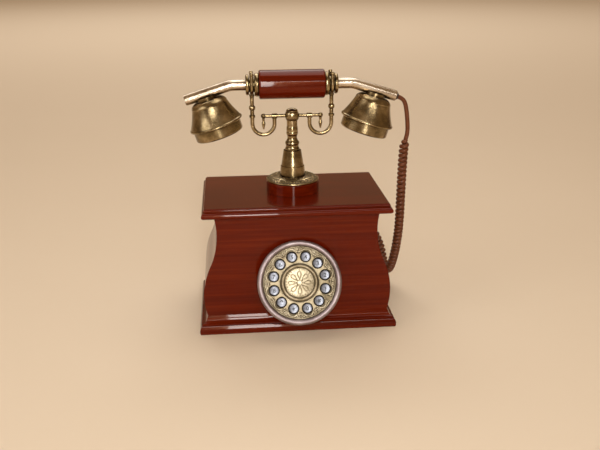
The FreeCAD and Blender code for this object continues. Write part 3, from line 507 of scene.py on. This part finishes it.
# a flat ring, closed all round
def bandMesh(name, inner, outer, low, high, count=144):
    corners = [(inner, low), (outer, low), (outer, high), (inner, high)]
    bm = bmesh.new()
    rows = [[bm.verts.new(around(r, 360 * k / count, z)) for r, z in corners] for k in range(count)]
    for k, row in enumerate(rows):
        after = rows[(k + 1) % count]
        for n in range(len(corners)):
            m = (n + 1) % len(corners)
            bm.faces.new((row[n], row[m], after[m], after[n]))
    bmesh.ops.recalc_face_normals(bm, faces=bm.faces)
    return builtMesh(name, bm)


scrollLook = {
    "raised": 0.2,        # middle of the wires above the plate
    "flat": 0.45,         # share of their height that is kept
    # the ground band's dark brass is painted shade under the scrollwork
    "ground": (32.2, 38.9),    # dark band under the scrolls
    "groundThick": 0.1,
    "repeats": 12,
    "vine": {"radius": 35.9, "swing": 1.7, "wire": 0.7},
    "outerRim": (39.2, 0.6),    # radius and wire
    "outerGroove": (40.0, 0.3),
    "hubRim": (1.4, 0.3),       # past the hub, and wire
    "hubGroove": (0.3, 0.5),
    "medallionGroove": (0.5, 0.55),
    "medallionGrooveUp": 0.5,
    # radius, degrees aside, size, turns and hand
    "spirals": [(36.6, 2.9, 1.55, 1.25, -1), (33.0, 3.4, 1.2, 1.0, 1)],
    "spiralWire": (0.78, 0.48),    # from its eye to its end
    "spiralPoints": 26,
    "spiralEye": 0.12,             # share of the size
    # from and to, each a radius and degrees aside, and thickness
    "leaves": [((33.6, 6.4), (38.4, 11.6), 0.95), ((35.0, 4.6), (38.6, 7.4), 0.8)],
    "leafTip": 0.2,
    "leafCurve": 0.7,
    "leafPoints": 9,
    # radius and degrees aside
    "beads": [(38.0, [0]), (32.4, [0]), (38.3, [13.4, 16.6]), (34.6, [-4.8, 4.8])],
    "bead": 0.75,
    "beadFlat": 0.6,
    # a brighter brass wire along the finger stop's edge is a painted highlight
    "stopHighlightEdge": [(38.9, -2.7), (26.6, -0.5)],    # bright edge of the finger stop, before its turn
    "stopTurn": -30,
    "stopTop": 3.4,
    "stopWire": 0.35,
}


# a spiral that starts at its eye and opens out, about a place on the dial
def spiral(radius, degrees, size, turns, hand, z):
    base = math.radians(degrees)
    cx, cy = radius * math.sin(base), radius * math.cos(base)
    count, eye = scrollLook["spiralPoints"], scrollLook["spiralEye"]
    points = []
    for k in range(count):
        t = k / (count - 1)
        angle = math.pi / 2 + hand * t * turns * 2 * math.pi - base
        reach = size * (eye + (1 - eye) * t)
        points.append(onDial(cx + reach * math.cos(angle), cy + reach * math.sin(angle), z))
    return points


# a leaf from one place on the dial to another, thick in its middle
def leaf(start, end, thick, z):
    count, tip, bend = (scrollLook[k] for k in ("leafPoints", "leafTip", "leafCurve"))
    points, radii = [], []
    for k in range(count):
        t = k / (count - 1)
        radius = start[0] + (end[0] - start[0]) * t ** bend
        points.append(around(radius, start[1] + (end[1] - start[1]) * t, z))
        radii.append((tip + (thick - tip) * math.sin(math.pi * t) ** bend) * mm)
    return points, radii


# raised work on the dial is flat on top: its height above the plate shrinks
def flatten(mesh):
    face = dialLook["face"] * mm
    back = dialTurn.inverted()
    for v in mesh.vertices:
        at = back @ v.co
        at.z = face + (at.z - face) * scrollLook["flat"]
        v.co = dialTurn @ at
    return mesh


# painted shade: a dark band where the scrollwork's ground lies
def makeDialGround():
    face, half = dialLook["face"], scrollLook["groundThick"] / 2
    ground = bandMesh("scrollGround", *scrollLook["ground"], face - half, face + half)
    dialPiece("scrollGround", ground, paintedShadeBrass)


# a wavy vine between two rims
def makeDialVine():
    z = dialLook["face"] + scrollLook["raised"]
    look = scrollLook["vine"]
    vine = []
    for degrees in range(360):
        wave = math.cos(math.radians(scrollLook["repeats"] * degrees))
        vine.append(around(look["radius"] - look["swing"] * wave, degrees, z))
    outer, outerWire = scrollLook["outerRim"]
    past, hubWire = scrollLook["hubRim"]
    wires = [
        (vine, look["wire"] * mm),
        (ringPoints(outer, z), outerWire * mm),
        (ringPoints(dialLook["hub"] + past, z), hubWire * mm),
    ]
    dialPiece("dialVine", flatten(wireMesh("dialVine", wires, closed=True)), dialBrass)


# painted shade: dark rings where the dial's grooves are
def makeDialGrooveShade():
    face = dialLook["face"]
    outer, outerWire = scrollLook["outerGroove"]
    pastHub, hubWire = scrollLook["hubGroove"]
    past, wire = scrollLook["medallionGroove"]
    wires = [
        (ringPoints(outer, face + scrollLook["raised"]), outerWire * mm),
        (ringPoints(dialLook["hub"] + pastHub, face), hubWire * mm),
        (ringPoints(dialLook["medallion"] + past, face + scrollLook["medallionGrooveUp"]), wire * mm),
    ]
    dialPiece("dialGrooveShade", wireMesh("dialGrooveShade", wires, closed=True), paintedShadeBrass)


def makeDialScrolls():
    face = dialLook["face"]
    raised = face + scrollLook["raised"]
    taper = taperedRadii(*scrollLook["spiralWire"], scrollLook["spiralPoints"])
    wires = []
    for k in range(scrollLook["repeats"]):
        middle = 360 / scrollLook["repeats"] * k
        for hand in (-1, 1):
            for radius, aside, size, turns, way in scrollLook["spirals"]:
                line = spiral(radius, middle + hand * aside, size, turns, way * hand, raised)
                wires.append((line, taper))
            for (low, lowAside), (high, highAside), thick in scrollLook["leaves"]:
                start = (low, middle + hand * lowAside)
                end = (high, middle + hand * highAside)
                wires.append(leaf(start, end, thick, face))
    dialPiece("dialScrolls", flatten(wireMesh("dialScrolls", wires)), dialBrass)
    print("dial scrollwork:", len(wires), "scrolls")


# painted highlight: a brighter brass wire along the finger stop's edge
def makeStopHighlight():
    turn = Matrix.Rotation(math.radians(scrollLook["stopTurn"]), 2)
    edge = [onDial(*(turn @ Vector(p)), scrollLook["stopTop"]) for p in scrollLook["stopHighlightEdge"]]
    dialPiece("stopHighlightEdge", wireMesh("stopHighlightEdge", [(edge, scrollLook["stopWire"] * mm)]), dialBrass)


def makeDialLeaves():
    z = dialLook["face"] + scrollLook["raised"]
    step = 360 / scrollLook["repeats"]
    places = []
    for radius, asides in scrollLook["beads"]:
        for k in range(scrollLook["repeats"]):
            places += [around(radius, step * k + aside, z) for aside in asides]
    mesh = beadMesh("dialLeaves", places, scrollLook["bead"] * mm, scrollLook["beadFlat"], beadTurn)
    dialPiece("dialLeaves", mesh, dialBrass)


rosetteLook = {
    "petals": 8,
    "petalPoints": 20,
    "petalMiddle": 7.9,
    "petalHalf": 4.5,     # half its length
    "petalSpread": 15,    # half its width in degrees
    "petalTip": 0.55,     # share of that width near the hub
    "petalWire": 0.5,
    "raised": 0.1,
    "rings": [(15.6, 96, 0.4), (2.7, 32, 0.45)],    # radius, points, wire
    "beads": 30,
    "beadCircle": 14.0,
    "bead": 0.6,
    "beadFlat": 0.5,
}


# height of the medallion's domed front
def crown(r):
    edge = dialLook["medallionEdge"]
    dome = (dialLook["medallionTall"] - edge) * (1 - (r / dialLook["medallion"]) ** 2)
    return dialLook["face"] + edge + dome


def petalPoints(degrees):
    look, points = rosetteLook, []
    for n in range(look["petalPoints"]):
        t = 2 * math.pi * n / look["petalPoints"]
        r = look["petalMiddle"] + look["petalHalf"] * math.cos(t)
        wide = look["petalTip"] + (1 - look["petalTip"]) * math.cos(t / 2) ** 2
        aside = look["petalSpread"] * math.sin(t) * wide
        points.append(around(r, degrees + aside, crown(r) + look["raised"]))
    return points


def makeRosette():
    look = rosetteLook
    wires = []
    for k in range(look["petals"]):
        wires.append((petalPoints(360 / look["petals"] * k), look["petalWire"] * mm))
    for radius, count, wire in look["rings"]:
        wires.append((ringPoints(radius, crown(radius) + look["raised"], count), wire * mm))
    dialPiece("medallionRosette", wireMesh("medallionRosette", wires, closed=True), dialBrass)
    places = ringPoints(look["beadCircle"], crown(look["beadCircle"]), look["beads"])
    mesh = beadMesh("medallionBeads", places, look["bead"] * mm, look["beadFlat"], beadTurn)
    dialPiece("medallionBeads", mesh, dialBrass)
    print("medallion rosette")


numberLook = {
    "signs": {"star": "*", "hash": "#"},
    "tall": 6.2,
    "larger": {"star": 1.25},    # times as tall
    "thick": 0.05,
    "bold": 0.16,
    "circle": 29.0,    # radius through the buttons
    "first": 105,      # the 1, and the others against the clock
    "step": 30,
    "face": 2.7,       # buttons' front
    "above": 0.1,
}


def makeNumbers():
    look = numberLook
    for k, name in enumerate(buttonNames):
        text = bpy.data.curves.new("number_" + name, "FONT")
        text.body = look["signs"].get(name, name)
        text.size = look["tall"] * mm * look["larger"].get(name, 1)
        text.extrude = look["thick"] * mm
        text.offset = look["bold"] * mm
        text.align_x = "CENTER"
        text.align_y = "CENTER"
        mesh = curveMesh("number_" + name, text)
        across = [v.co.x for v in mesh.vertices]
        up = [v.co.y for v in mesh.vertices]
        middle = Vector(((min(across) + max(across)) / 2, (min(up) + max(up)) / 2, 0))
        angle = math.radians(look["first"] - look["step"] * k)
        r = look["circle"]
        place = Vector((r * math.sin(angle), r * math.cos(angle), look["face"] + look["above"]))
        shift = place * mm - middle
        for v in mesh.vertices:
            v.co = dialTurn @ (v.co + shift)
        piece = addMesh("number_" + name, mesh, keyInk, "key_" + name)
    print("numbers on the buttons")


makeDialGround()
makeDialVine()
makeDialGrooveShade()
makeDialScrolls()
makeStopHighlight()
makeDialLeaves()
makeRosette()
makeNumbers()


# column: embossed flange and ribbed ball, in millimetres and degrees

flangeLook = {
    "arc": [(27.8, 160.2), (22.25, 162.7), (14.5, 163.5)],     # radius and height of its top
    "raised": 0.15,
    "rows": [(24.2, 15, 2.3), (18.8, 12, 2.1)],    # radius, pairs of scrolls, size
    "turns": 1.3,
    "eye": 0.15,            # share of the size
    "apart": 1.05,          # from the pair's middle, in sizes
    "wire": (0.85, 0.45),    # from its eye to its end
    "points": 30,
    "beads": 40,
    "beadCircle": 26.9,
    "bead": 0.9,
}


# the parabola through the arc's three points
def flangeHeight(r):
    (ra, za), (rb, zb), (rc, zc) = flangeLook["arc"]
    first = za * (r - rb) * (r - rc) / ((ra - rb) * (ra - rc))
    second = zb * (r - ra) * (r - rc) / ((rb - ra) * (rb - rc))
    third = zc * (r - ra) * (r - rb) / ((rc - ra) * (rc - rb))
    return first + second + third


def onFlange(r, angle):
    return Vector((r * math.cos(angle), r * math.sin(angle), flangeHeight(r) + flangeLook["raised"])) * mm


def flangeScroll(middle, base, size, hand):
    count, eye = flangeLook["points"], flangeLook["eye"]
    points = []
    for n in range(count):
        t = n / (count - 1)
        turn = math.pi / 2 + hand * 2 * math.pi * flangeLook["turns"] * t
        reach = size * (eye + (1 - eye) * t)
        r = middle + reach * math.sin(turn)
        aside = hand * size * flangeLook["apart"] / middle
        points.append(onFlange(r, base + aside + reach * math.cos(turn) / r))
    return points


def makeFlangeOrnament():
    wires = []
    taper = taperedRadii(*flangeLook["wire"], flangeLook["points"])
    for middle, pairs, size in flangeLook["rows"]:
        for k in range(pairs):
            for hand in (-1, 1):
                wires.append((flangeScroll(middle, 2 * math.pi * k / pairs, size, hand), taper))
    scrolls = addMesh("flangeScrolls", wireMesh("flangeScrolls", wires), brass, "housing")
    count = flangeLook["beads"]
    places = [onFlange(flangeLook["beadCircle"], 2 * math.pi * k / count) for k in range(count)]
    beads = addMesh("flangeBeads", beadMesh("flangeBeads", places, flangeLook["bead"] * mm), brass, "housing")
    print("flange scrollwork")


ballLook = {
    "radius": 8.0,
    "height": 232.0,
    "ribs": 28,
    "wire": 0.4,
    "points": 10,
    "low": -40,     # where a rib starts and ends below the ball's middle
    "high": -4,
    "barGap": 0.3,    # sine of the angle on each side of the cross bar without ribs
}


def makeBallRibs():
    look, wires = ballLook, []
    for k in range(look["ribs"]):
        angle = 2 * math.pi * k / look["ribs"]
        if abs(math.sin(angle)) < look["barGap"]:
            continue
        points = []
        for n in range(look["points"]):
            lift = math.radians(look["low"] + (look["high"] - look["low"]) * n / (look["points"] - 1))
            r = look["radius"] * math.cos(lift)
            z = look["height"] + look["radius"] * math.sin(lift)
            points.append(Vector((r * math.cos(angle), r * math.sin(angle), z)) * mm)
        wires.append((points, look["wire"] * mm))
    ribs = addMesh("ballRibs", wireMesh("ballRibs", wires), brass, "cradle")
    print("ball ribs")


makeFlangeOrnament()
makeBallRibs()


# floor and studio light

stageLook = {
    "floor": (0.74, 0.61, 0.455),
    "floorHalf": 15,    # metres
    "floorRough": 0.9,
    "floorShine": 0.1,
    "sky": (1, 0.65, 0.34),
    "skyLevel": 0.3,
    "lamps": {    # place, target, watts, width and height in metres, spread in degrees
        "key": ((-0.02, -1.25, 0.5), (0, 0, 0.14), 3.0, 0.14, 0.85, 100),
        "strip": ((0.05, -1.15, 0.85), (0, 0, 0.2), 1.25, 1.3, 0.07, 100),
        "fill": ((-1.2, -0.6, 0.9), (0, 0, 0.14), 4, 0.8, 0.8, 180),
        "top": ((0.15, 0.25, 1.6), (0, 0, 0.14), 6, 0.9, 0.9, 180),
        "far": ((0, 3.6, 3.4), (0, 3.8, 0), 110, 4.0, 3.0, 180),
    },
}


def makeFloor():
    bm = bmesh.new()
    bmesh.ops.create_grid(bm, x_segments=1, y_segments=1, size=stageLook["floorHalf"])
    floor = bpy.data.objects.new("floor", builtMesh("floor", bm))
    scene.collection.objects.link(floor)
    paper = Finish("floorPaper").fixed(Base_Color=(*stageLook["floor"], 1))
    paper.fixed(Roughness=stageLook["floorRough"], Specular_IOR_Level=stageLook["floorShine"])
    floor.data.materials.append(paper.material)


def makeLight():
    world = bpy.data.worlds.new("studio")
    scene.world = world
    world.use_nodes = True
    sky = world.node_tree.nodes["Background"]
    sky.inputs["Color"].default_value = (*stageLook["sky"], 1)
    sky.inputs["Strength"].default_value = stageLook["skyLevel"]
    for name, (place, target, watts, wide, tall, spread) in stageLook["lamps"].items():
        data = bpy.data.lights.new(name, "AREA")
        data.shape = "RECTANGLE"
        data.size = wide
        data.size_y = tall
        data.energy = watts
        data.spread = math.radians(spread)
        lamp = bpy.data.objects.new(name, data)
        lamp.location = place
        lamp.rotation_euler = (Vector(target) - Vector(place)).to_track_quat("-Z", "Y").to_euler()
        lamp.visible_camera = False
        scene.collection.objects.link(lamp)


makeFloor()
makeLight()
print("stage lit")
